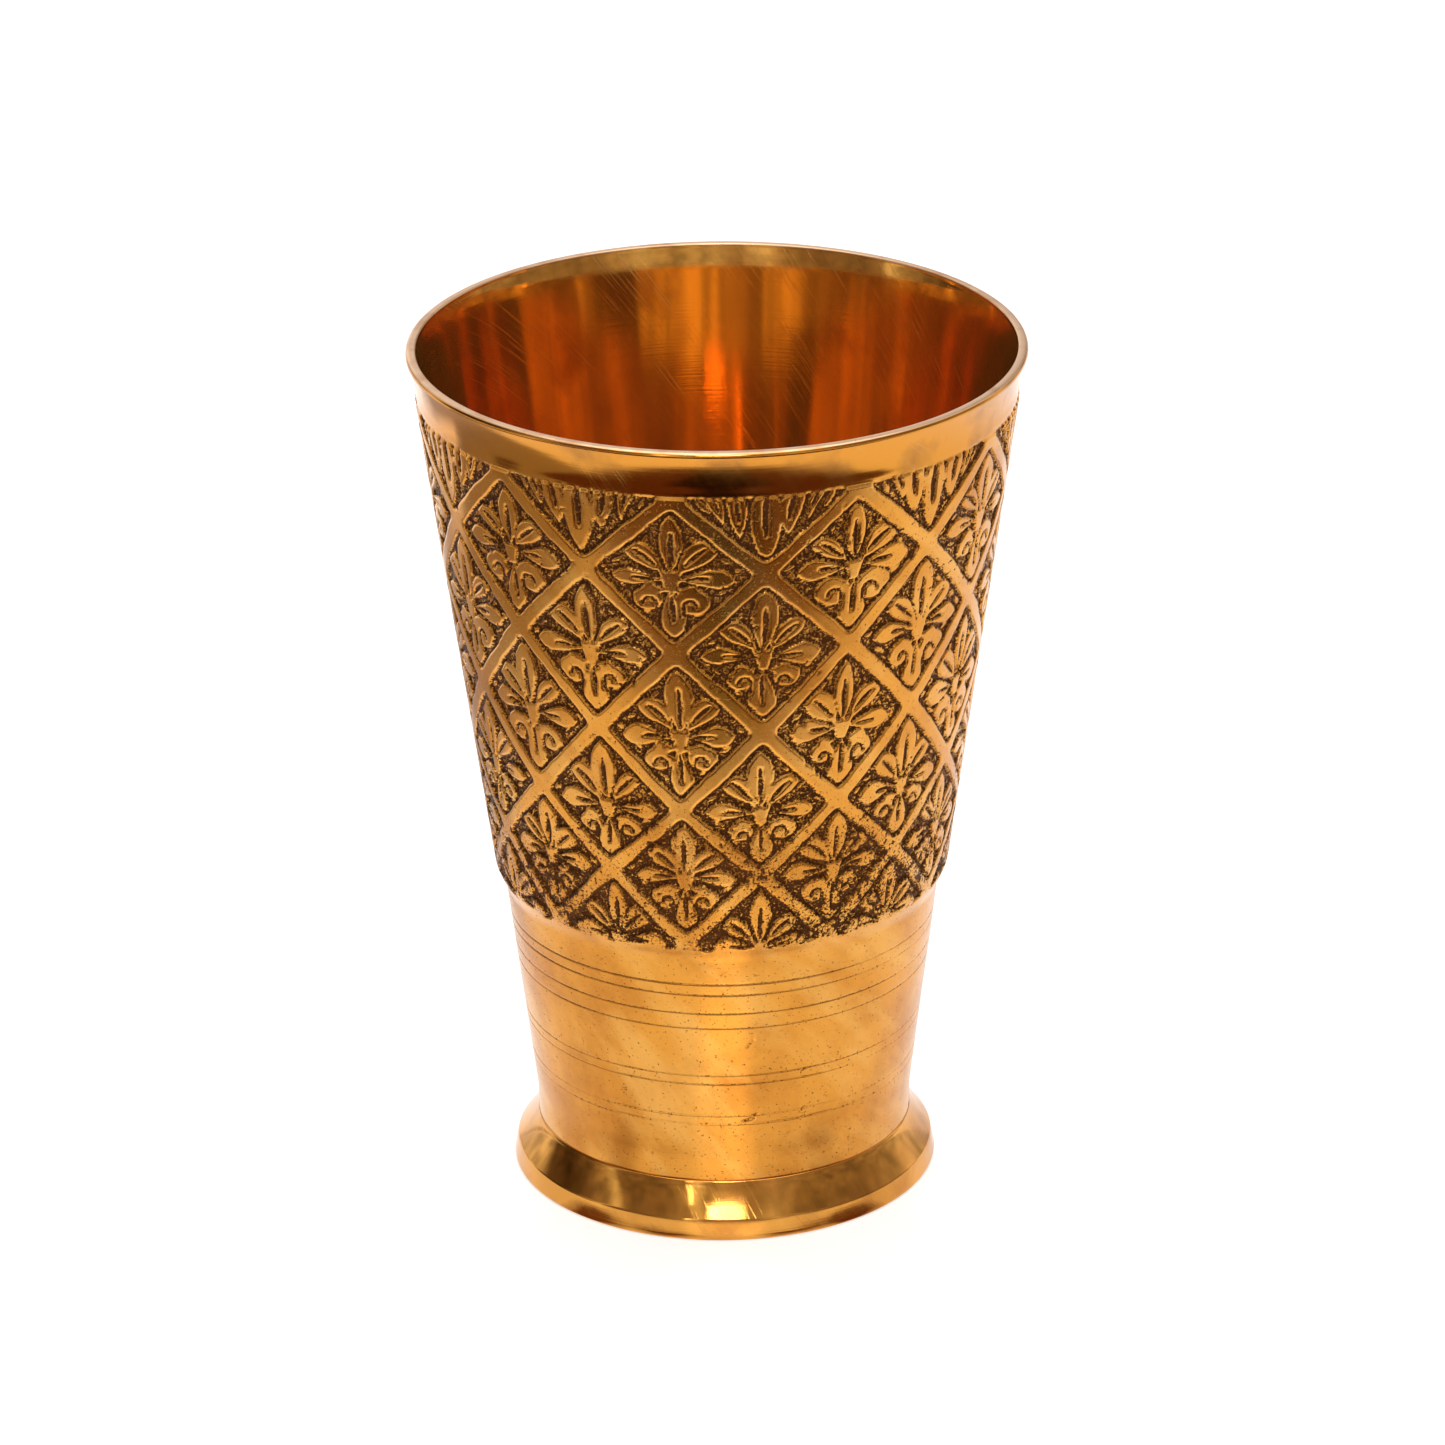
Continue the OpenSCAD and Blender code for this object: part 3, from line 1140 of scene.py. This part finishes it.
    def nicks(self, angles: np.ndarray, z: np.ndarray) -> np.ndarray:
        """Draws the slips of the tool that join two pairs of lines, small nicks, and a gap in the crease.

        Args:
            angles: each column's angle.
            z: each row's height.

        Returns:
            Share of each point that is cut away, from 0 to 1.
        """
        marks = np.zeros((len(z), len(angles)))
        scale = math.radians(1) * self.collar_radius
        for from_angle, from_z, to_angle, to_z, half_width in self.slips:
            x, y = (angles - from_angle)[None, :] * scale, (z - from_z)[:, None]
            dx, dy = (to_angle - from_angle) * scale, to_z - from_z
            along = np.clip((x * dx + y * dy) / (dx * dx + dy * dy), 0, 1)
            away = np.hypot(x - along * dx, y - along * dy)
            marks = np.maximum(marks, fall(away, *(half_width * share for share in self.slip_edge)))
        return marks

    def inside(self) -> np.ndarray:
        """Outline of the cup and of the floor's seat, from the lip downwards."""
        top, flare_end, shoulder, floor = self.cup
        slope = (flare_end[0] - shoulder[0]) / (flare_end[1] - shoulder[1])
        drop = top[1] - flare_end[1]
        extra = top[0] - flare_end[0] - slope * drop
        flare = [
            (flare_end[0] + slope * drop * t + extra * t * t, flare_end[1] + drop * t)
            for t in np.linspace(1, 0, self.cup_flare_points)
        ]
        cup = np.vstack([flare, walk([flare_end, shoulder, floor], self.step)[1:]])
        seat = [floor, (self.seat_radius, floor[1]), (self.seat_radius, self.spigot_low)]
        return np.vstack([cup, walk(seat, self.step)[1:]])

    def cup_unevenness(self, cup: np.ndarray, angles: np.ndarray) -> np.ndarray:
        """How far each point of the inside strays outwards, by its place in the cup's outline."""
        rng = np.random.default_rng(self.seed + 1)
        down = self.total - cup[:, 1]
        uneven = self.cup_dents.over(rng, down, angles) + self.cup_ripples.over(rng, down, angles)
        in_cup = cup[:, 1] > self.cup[-1][1] - 0.1
        return uneven * (rise(down, *self.cup_fade) * in_cup)[:, None]

    def finishes(self) -> list[bpy.types.Material]:
        """Makes the wall's materials, in the order of the zones."""
        rim = SpunBrass(
            "cast_brass_buffed_rim",
            tarnish="#A87238",
            roughness=0.12,
            dull_roughness=0.24,
            hairline_paleness=0.12,
            hairline_roughness=0.2,
        )
        cup = SpunBrass(
            "cast_brass_buffed_inside",
            brass="#E3A44C",
            tarnish="#C0803C",
            roughness=0.06,
            dull_roughness=0.13,
            metallic=0.94,
        )
        lip = SpunBrass(
            "cast_brass_worn_lip",
            brass="#DDB48E",
            tarnish="#C4936A",
            anisotropy=0.2,
            roughness=0.3,
            dull_roughness=0.42,
            cloud=4.0,
        )
        return [finish.build() for finish in (ChasedBrass(), rim, cup, lip)]

    def build(self) -> bpy.types.Object:
        """Makes the wall, dresses it, and sets it in place of the CAD's body."""
        angles = column_angles(self.columns)
        radius, height, patina, turned = self.outside(angles)
        spigot_corners = [
            (self.spigot_radius, self.spigot_low),
            (self.spigot_radius, self.crease),
            (self.collar_radius - self.crease_chamfer, self.crease),
        ]
        spigot = walk(spigot_corners, self.step)
        outer = (self.rim_radius - self.lip_outer_round, self.total - self.lip_outer_round)
        inner = (self.rim_radius - self.lip + self.lip_inner_round, self.total - self.lip_inner_round)
        lip = np.array(
            arc(outer, self.lip_outer_round, 0, 90, self.lip_points[0])
            + arc(inner, self.lip_inner_round, 90, self.lip_turn, self.lip_points[1])
        )
        cup = self.inside()
        level = np.zeros((1, self.columns))
        all_radius = np.vstack(
            [spigot[:, :1] + level, radius, lip[:, :1] + level, cup[:, :1] + self.cup_unevenness(cup, angles)]
        )
        all_height = np.vstack([spigot[:, 1:] + level, height, lip[:, 1:] + level, cup[:, 1:] + level])
        lip_start = len(spigot) + len(radius)
        cup_start = lip_start + len(lip)
        zone = np.full(len(all_radius), Zone.CUP.value)
        zone[:cup_start] = np.where(
            all_height[:cup_start, 0] > self.rim_low, Zone.RIM.value, Zone.CHASED.value
        )
        worn_from, worn_to = self.worn_lip_rings
        zone[lip_start + worn_from : lip_start + worn_to] = Zone.LIP.value
        beyond = ((len(spigot), len(lip) + len(cup)), (0, 0))
        attributes = {"patina": np.pad(patina, beyond), "turned": np.pad(turned, beyond)}
        piece = Revolved("cast_wall", all_radius, all_height, zone, attributes).build(angles)
        for material in self.finishes():
            piece.data.materials.append(material)
        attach(piece, BODY)
        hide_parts("body")
        return piece


@dataclass
class FootRing:
    """The flared ring that the tumbler stands on, turned and polished."""

    columns: int = 480
    crease: float = 7.6
    collar_radius: float = 26.4
    crease_chamfer: float = 0.14
    ridge: tuple[float, float] = (29.4, 3.0)
    ridge_groove: tuple[float, float] = (0.1, 0.12)
    ridge_edge: tuple[float, float] = (0.06, 0.2)
    flare_power: float = 1.3
    flare_points: int = 22
    foot_radius: float = 29.9
    edge_round: float = 0.5
    edge_points: int = 8
    rest_inner: float = 28.2
    bore: float = 25.9
    bore_low: float = 3.5
    step: float = 0.4
    bore_step: float = 0.5
    unevenness: Unevenness = Unevenness(2.5, 36, 0.03)
    rest_fade: tuple[float, float] = (0.1, 1.0)
    bore_margin: float = 0.2
    seed: int = 21

    def outline(self) -> np.ndarray:
        """Outline of the ring, up its outside and down its inside."""
        edge_centre = (self.foot_radius - self.edge_round, self.edge_round)
        edge = arc(edge_centre, self.edge_round, -90, 0, self.edge_points)
        (ridge_radius, ridge_z), (groove_in, groove_up) = self.ridge, self.ridge_groove
        flare = [
            (
                self.collar_radius + (ridge_radius - self.collar_radius) * t**self.flare_power,
                self.crease + (ridge_z - self.crease) * t,
            )
            for t in np.linspace(1, 0, self.flare_points)
        ]
        flare[0] = (ridge_radius - groove_in, ridge_z + groove_up)
        flare[-1] = (flare[-1][0], self.crease - self.crease_chamfer)
        under_ridge = (ridge_radius + self.ridge_edge[0], ridge_z - self.ridge_edge[1])
        side = walk([edge[-1], under_ridge, self.ridge], self.step)[1:]
        top = (self.collar_radius - self.crease_chamfer, self.crease)
        rest = (self.rest_inner, 0.0)
        inside = walk([top, (self.bore, self.crease), (self.bore, self.bore_low), rest], self.bore_step)
        return np.vstack([edge, side, np.array(flare), inside, walk([rest, edge[0]], self.step)[1:-1]])

    def build(self) -> bpy.types.Object:
        """Makes the ring, dresses it, and sets it in place of the CAD's foot ring."""
        angles = column_angles(self.columns)
        outline = self.outline()
        rng = np.random.default_rng(self.seed)
        uneven = self.unevenness.over(rng, outline[:, 1], angles) + self.unevenness.amount
        free = rise(outline[:, 1], *self.rest_fade) * (outline[:, 0] > self.bore + self.bore_margin)
        radius = outline[:, :1] - uneven * free[:, None]
        piece = Revolved("turned_foot_ring", radius, outline[:, 1:]).build(angles)
        polish = SpunBrass(
            "polished_brass_turned_and_buffed",
            brass="#DB9A45",
            tarnish="#BC7C38",
            roughness=0.09,
            dull_roughness=0.17,
            hairline_paleness=0.05,
            hairline_roughness=0.15,
        )
        piece.data.materials.append(polish.build())
        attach(piece, BODY)
        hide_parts("foot_ring")
        return piece


@dataclass
class FloorDisc:
    """The disc of sheet brass that closes the bottom of the cup."""

    columns: int = 240
    radius: float = 24.9
    low: float = 7.2
    thickness: float = 1.6
    rings: int = 90
    ring_depth: float = 0.06
    ring_pitch: float = 1.7
    plain_edge: tuple[float, float] = (0.6, 1.6)
    weld_reach: float = 1e-7
    least_area: float = 1e-14

    def build(self) -> bpy.types.Object:
        """Makes the disc, with its turned rings, and sets it in place of the CAD's disc."""
        angles = column_angles(self.columns)
        reach = np.linspace(self.radius, 0.0, self.rings)
        depth = self.ring_depth * (0.5 - 0.5 * np.cos(2 * math.pi * reach / self.ring_pitch))
        depth *= rise(self.radius - reach, *self.plain_edge)
        upper = np.stack([reach, self.low + self.thickness - depth], axis=1)
        lower = np.stack([reach[::-1], np.full(len(reach), self.low)], axis=1)
        outline = np.vstack([lower, upper])
        radius = outline[:, :1] + np.zeros((1, self.columns))
        piece = Revolved("sheet_floor_disc", radius, outline[:, 1:]).build(angles)
        welded = bmesh.new()
        welded.from_mesh(piece.data)
        bmesh.ops.remove_doubles(welded, verts=welded.verts, dist=self.weld_reach)
        flat = [face for face in welded.faces if face.calc_area() < self.least_area]
        bmesh.ops.delete(welded, geom=flat, context="FACES_ONLY")
        welded.to_mesh(piece.data)
        welded.free()
        sheet = SpunBrass("sheet_brass_turned", roughness=0.16, dull_roughness=0.3, marks_depth=0.03)
        piece.data.materials.append(sheet.build())
        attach(piece, BODY)
        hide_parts("floor_disc")
        return piece


@dataclass
class BrazeBead:
    """A bead of brazing filler in an inside corner, hollow-faced and lumpy."""

    name: str
    node: str
    corner: tuple[float, float]
    leg: float
    columns: int = 300
    face_points: int = 9
    hollow: float = 0.16
    lumps: Unevenness = Unevenness(0.5, 70, 0.1)
    seed: int = 31

    def build(self, filler: bpy.types.Material) -> bpy.types.Object:
        """Makes the bead and sets it in place of the CAD's fillet.

        Args:
            filler: the filler's material, which both beads share.

        Returns:
            The bead.
        """
        angles = column_angles(self.columns)
        rng = np.random.default_rng(self.seed)
        share = np.linspace(0, 1, self.face_points)
        bulge = np.sin(math.pi * share)
        lumps = np.abs(self.lumps.over(rng, share, angles) * self.leg) * bulge[:, None]
        inward = (self.hollow * bulge * self.leg)[:, None] + lumps
        radius = self.corner[0] - self.leg * (1 - share)[:, None] + inward * math.sqrt(0.5)
        height = self.corner[1] - self.leg * share[:, None] + inward * math.sqrt(0.5)
        radius = np.vstack([np.full((1, self.columns), self.corner[0]), radius])
        height = np.vstack([np.full((1, self.columns), self.corner[1]), height])
        piece = Revolved(self.name, radius, height).build(angles)
        piece.data.materials.append(filler)
        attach(piece, BODY)
        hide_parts(self.node)
        return piece


# ---------------------------------------------------------------------------------------------
# Studio
# ---------------------------------------------------------------------------------------------


@dataclass
class Card:
    """A flat card that only reflections see: matt, such as a flag beside the camera, or glowing, which paints
    a highlight.
    """

    name: str
    at: tuple[float, float, float]
    size: tuple[float, float]
    shade: str
    soft: bool = True
    glow: float = 0.0
    turn: float = 0.0

    def build(self) -> bpy.types.Object:
        """Makes the card."""
        half_x, half_y = self.size[0] / 2 * MM, self.size[1] / 2 * MM
        mesh = bpy.data.meshes.new(self.name)
        corners = [(-half_x, -half_y, 0), (half_x, -half_y, 0), (half_x, half_y, 0), (-half_x, half_y, 0)]
        mesh.from_pydata(corners, [], [(0, 1, 2, 3)])
        card = bpy.data.objects.new(self.name, mesh)
        bpy.context.scene.collection.objects.link(card)
        spin = Matrix.Rotation(math.radians(self.turn), 4, "Z")
        card.matrix_world = Matrix.Translation(Vector(self.at) * MM) @ spin
        card.visible_camera = card.visible_shadow = card.visible_diffuse = False
        mesh.materials.append(DarkCard(self.name, self.shade, self.soft, self.glow).build())
        return card


class LampShape(Enum):
    """Outline of a softbox. The value is Blender's name for it."""

    RECTANGLE = "RECTANGLE"
    ELLIPSE = "ELLIPSE"


@dataclass
class Lamp:
    """A softbox that points at the tumbler."""

    name: str
    azimuth: float
    elevation: float
    distance: float
    size: tuple[float, float]
    power: float
    shape: LampShape = LampShape.RECTANGLE
    aim_height: float = 60.0

    def build(self) -> bpy.types.Object:
        """Makes the lamp."""
        data = bpy.data.lights.new(self.name, "AREA")
        data.shape = self.shape.value
        data.size, data.size_y = self.size[0] * MM, self.size[1] * MM
        data.energy = self.power
        data.color = linear(WHITE)[:3]
        lamp = bpy.data.objects.new(self.name, data)
        bpy.context.scene.collection.objects.link(lamp)
        turn, lift = math.radians(self.azimuth), math.radians(self.elevation)
        away = Vector(
            (math.sin(turn) * math.cos(lift), -math.cos(turn) * math.cos(lift), math.sin(lift))
        )
        place = Vector((0, 0, self.aim_height * MM)) + away * self.distance * MM
        lamp.matrix_world = Matrix.Translation(place) @ away.to_track_quat("Z", "Y").to_matrix().to_4x4()
        return lamp


@dataclass
class Studio:
    """White floor, soft room light, softboxes and cards round the tumbler.

    The room is a row of upright panels: each has an azimuth, and a level that 1 makes white.
    """

    floor_size: float = 12000.0
    room: tuple[tuple[float, float], ...] = (
        (-180, 1.1), (-175, 0.9), (-166, 1.2), (-156, 1.4), (-149, 0.85), (-136, 0.9),
        (-123, 1.0), (-116, 0.16), (-102, 0.07), (-90, 0.2), (-76, 0.5), (-70, 1.1),
        (-66, 0.3), (-42, 0.28), (-24, 0.5), (-17, 1.3), (-10, 0.5), (0, 0.65),
        (18, 0.5), (30, 0.8), (48, 0.4), (78, 0.34), (100, 0.5), (115, 0.7),
        (121, 1.15), (142, 0.75), (152, 0.4), (160, 0.55), (166, 0.7), (174, 0.8),
        (180, 1.1),
    )
    room_tint: str = "#FFFBF6"
    room_strength: float = 0.95
    dim_warmth: tuple[float, float] = (0.34, 0.55)
    dim_power: float = 1.5
    ceiling: Span = Span(0.77, 0.93)
    clutter: float = 8.0
    clutter_detail: float = 3.0
    clutter_roughness: float = 0.6
    clutter_levels: Span = Span(0.36, 0.64, 0.6, 1.3)
    lamps: tuple[Lamp, ...] = (
        Lamp("overhead_softbox", 0, 89, 1500, (1600, 1600), 13),
        Lamp("front_softbox", 1, 48.5, 1100, (290, 180), 2.2, LampShape.ELLIPSE),
        Lamp("strip_softbox", -22, 33, 1500, (90, 520), 0.5),
    )
    cards: tuple[Card, ...] = (
        Card("table_edge_flag", (0, -420, 0.6), (900, 600), "#5A3420", soft=False),
        Card("left_grey_card", (-280, -30, 0.5), (280, 260), "#9A928C", soft=False),
        Card("camera_flag", (4, -240, 1.2), (116, 260), "#160904"),
        Card("camera_shade", (3, -198, 1.5), (106, 106), "#1E0A04", soft=False, turn=45),
        Card("back_left_card", (-122, 125, 0.9), (170, 230), "#B4ACA8"),
        Card("left_flag", (-262, -30, 1.2), (78, 80), "#4A2C18"),
        Card("far_left_flag", (-330, 120, 1.2), (120, 120), "#5A4030"),
        Card("right_flag", (205, -150, 1.2), (90, 90), "#5A4030"),
        # Painted shade: dark patches laid on the floor round the foot, which only reflections see, stand in
        # for the foot's contact shadow there.
        Card("foot_contact_shade_far_left", (-22.6, -25.1, 0.3), (20, 14), "#7E5A46"),
        Card("foot_contact_shade_left", (-11.6, -31.8, 0.35), (20, 10), "#7E5A46"),
        Card("foot_contact_shade_right", (12.7, -31.3, 0.35), (18, 10), "#7E5A46"),
        Card("foot_contact_shade_far_right", (21.7, -25.9, 0.3), (20, 14), "#7E5A46"),
        # Painted highlight: this glowing card, which only reflections see, lays a bright streak down the
        # front of the collar.
        Card("front_glow_card", (1, -63, 0.6), (34, 66), "#FFF6E8", glow=1.9),
    )

    def build_floor(self) -> bpy.types.Object:
        """Lays the floor."""
        half = self.floor_size / 2 * MM
        mesh = bpy.data.meshes.new("studio_floor")
        corners = [(-half, -half, 0), (half, -half, 0), (half, half, 0), (-half, half, 0)]
        mesh.from_pydata(corners, [], [(0, 1, 2, 3)])
        floor = bpy.data.objects.new("studio_floor", mesh)
        bpy.context.scene.collection.objects.link(floor)
        mesh.materials.append(LitAcrylic().build())
        return floor

    def panel(self, level: float, brightest: float) -> tuple[float, float, float, float]:
        """Colour of a panel, which turns warmer as it gets dimmer."""
        dim = max(0.0, 1 - level) ** self.dim_power
        warm = (1.0, 1 - self.dim_warmth[0] * dim, 1 - self.dim_warmth[1] * dim)
        return (*(level / brightest * part for part in warm), 1.0)

    def build_room(self) -> None:
        """Fills the room with soft light, in upright panels that reflections can see."""
        world = bpy.data.worlds.new("soft_room_light")
        bpy.context.scene.world = world
        world.use_nodes = True
        tree = world.node_tree
        tree.nodes.clear()
        way = add_node(tree, "TexCoord").outputs["Generated"]
        parts = add_node(tree, "SeparateXYZ", {0: way})
        back = add_node(tree, "Math", {0: parts.outputs[1], 1: -1.0}, operation="MULTIPLY").outputs[0]
        turn = add_node(tree, "Math", {0: parts.outputs[0], 1: back}, operation="ARCTAN2").outputs[0]
        share = add_node(tree, "MapRange", Span(-math.pi, math.pi).of(turn)).outputs[0]
        ramp = add_node(tree, "ValToRGB", {0: share})
        stops = ramp.color_ramp.elements
        while len(stops) < len(self.room):
            stops.new(0.5)
        brightest = max(level for _, level in self.room)
        for stop, (azimuth, level) in zip(stops, self.room):
            stop.position = azimuth / FULL_TURN + 0.5
            stop.color = self.panel(level, brightest)
        high = add_node(tree, "MapRange", self.ceiling.of(parts.outputs[2])).outputs[0]
        pattern = {
            "Vector": way,
            "Scale": self.clutter,
            "Detail": self.clutter_detail,
            "Roughness": self.clutter_roughness,
        }
        clutter = add_node(tree, "TexNoise", pattern).outputs["Fac"]
        patchy = add_node(tree, "MapRange", self.clutter_levels.of(clutter)).outputs[0]
        walls = add_node(
            tree, "VectorMath", {0: ramp.outputs[0], "Scale": patchy}, operation="SCALE"
        ).outputs[0]
        ceiling = tuple(part / brightest for part in linear(self.room_tint)[:3]) + (1.0,)
        light = add_node(tree, "Mix", {0: high, 6: walls, 7: ceiling}, data_type="RGBA").outputs[2]
        background = add_node(tree, "Background", {0: light, 1: brightest * self.room_strength})
        add_node(tree, "OutputWorld", {0: background.outputs[0]})

    def build(self) -> None:
        """Builds the floor, the room, the softboxes and the cards."""
        self.build_floor()
        self.build_room()
        for thing in (*self.lamps, *self.cards):
            thing.build()


@dataclass
class ViewCamera:
    """The camera, at a long lens's distance in front of the tumbler and a little above it."""

    at: tuple[float, float, float] = (0.27, -939.8, 464.9)
    pitch: float = 23.012
    roll: float = 0.567
    lens: float = 182.5
    sensor: float = 36.0
    reach: float = 100.0

    def build(self) -> bpy.types.Object:
        """Makes the camera and looks through it."""
        data = bpy.data.cameras.new("view_camera")
        data.lens, data.sensor_width = self.lens, self.sensor
        data.clip_end = self.reach
        camera = bpy.data.objects.new("view_camera", data)
        bpy.context.scene.collection.objects.link(camera)
        tilt = Matrix.Rotation(math.radians(90 - self.pitch), 4, "X")
        lean = Matrix.Rotation(math.radians(-self.roll), 4, "Z")
        camera.matrix_world = Matrix.Translation(Vector(self.at) * MM) @ tilt @ lean
        bpy.context.scene.camera = camera
        return camera


def main() -> None:
    """Builds the tumbler and its studio."""
    logging.basicConfig(level=logging.INFO, format="%(name)s: %(message)s")
    bpy.context.scene.view_settings.view_transform = "Standard"
    filler = BrazingFiller().build()
    pieces = [
        Wall().build(),
        FootRing().build(),
        FloorDisc().build(),
        BrazeBead("foot_braze_bead", "foot_braze", (25.9, 4.4), 0.9).build(filler),
        BrazeBead("floor_braze_bead", "floor_braze", (24.9, 7.2), 1.6, seed=32).build(filler),
    ]
    for piece in pieces:
        LOG.info("%s: %d faces", piece.name, len(piece.data.polygons))
    Studio().build()
    ViewCamera().build()


if __name__ == "__main__":
    main()
